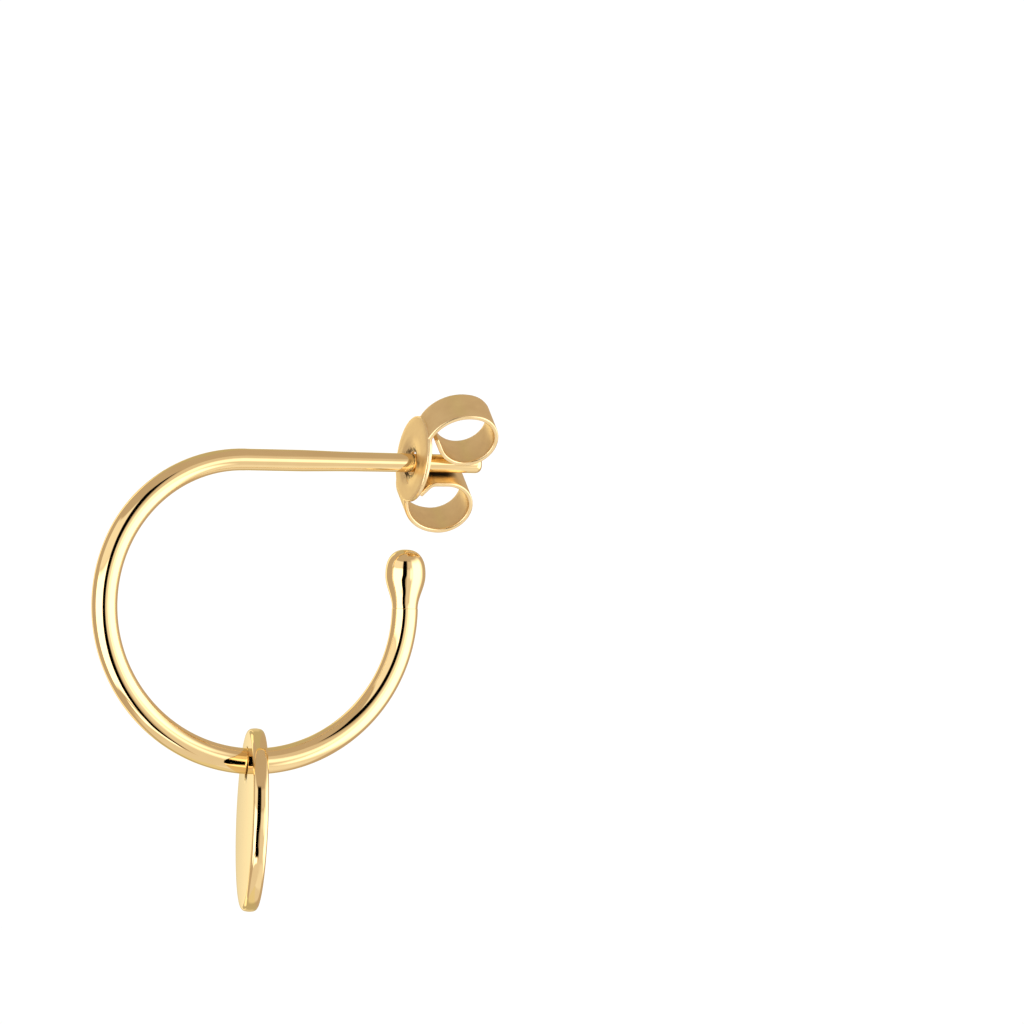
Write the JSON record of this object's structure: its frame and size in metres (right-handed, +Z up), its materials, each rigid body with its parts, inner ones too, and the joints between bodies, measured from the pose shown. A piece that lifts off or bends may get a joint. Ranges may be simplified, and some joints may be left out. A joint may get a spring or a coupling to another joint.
{
  "type": "hoop charm earring",
  "caption": "Open round-wire hoop earring with a ball end, a straight ear post with a butterfly clutch, and a plain drilled disc charm that hangs from the hoop.",
  "frame": {"origin": "on the ear post's axis at the middle of the ear lobe's place", "axes": "+X along the post towards its tip and the clutch, +Z up, with the hoop in the XZ plane"},
  "size_m": [0.0175, 0.0078, 0.0225],
  "materials": {
    "polished_gold": "mirror-polished yellow gold",
    "satin_gold": "satin rolled yellow gold with bright cut edges"
  },
  "bodies": {
    "hoop": {"hoop": "polished_gold"},
    "clutch": {"butterfly_clutch": "satin_gold"},
    "charm": {"disc_charm": "polished_gold"}
  },
  "joints": [
    {"name": "clutch_slide", "type": "slide", "parent": "hoop", "child": "clutch", "axis": [1, 0, 0], "range_m": [-0.0025, 0.004]},
    {"name": "charm_swing", "type": "hinge", "parent": "hoop", "child": "charm", "pos_m": [-0.00393, 0, -0.01303], "axis": [0.9998, 0, 0.0192], "continuous": true}
  ]
}
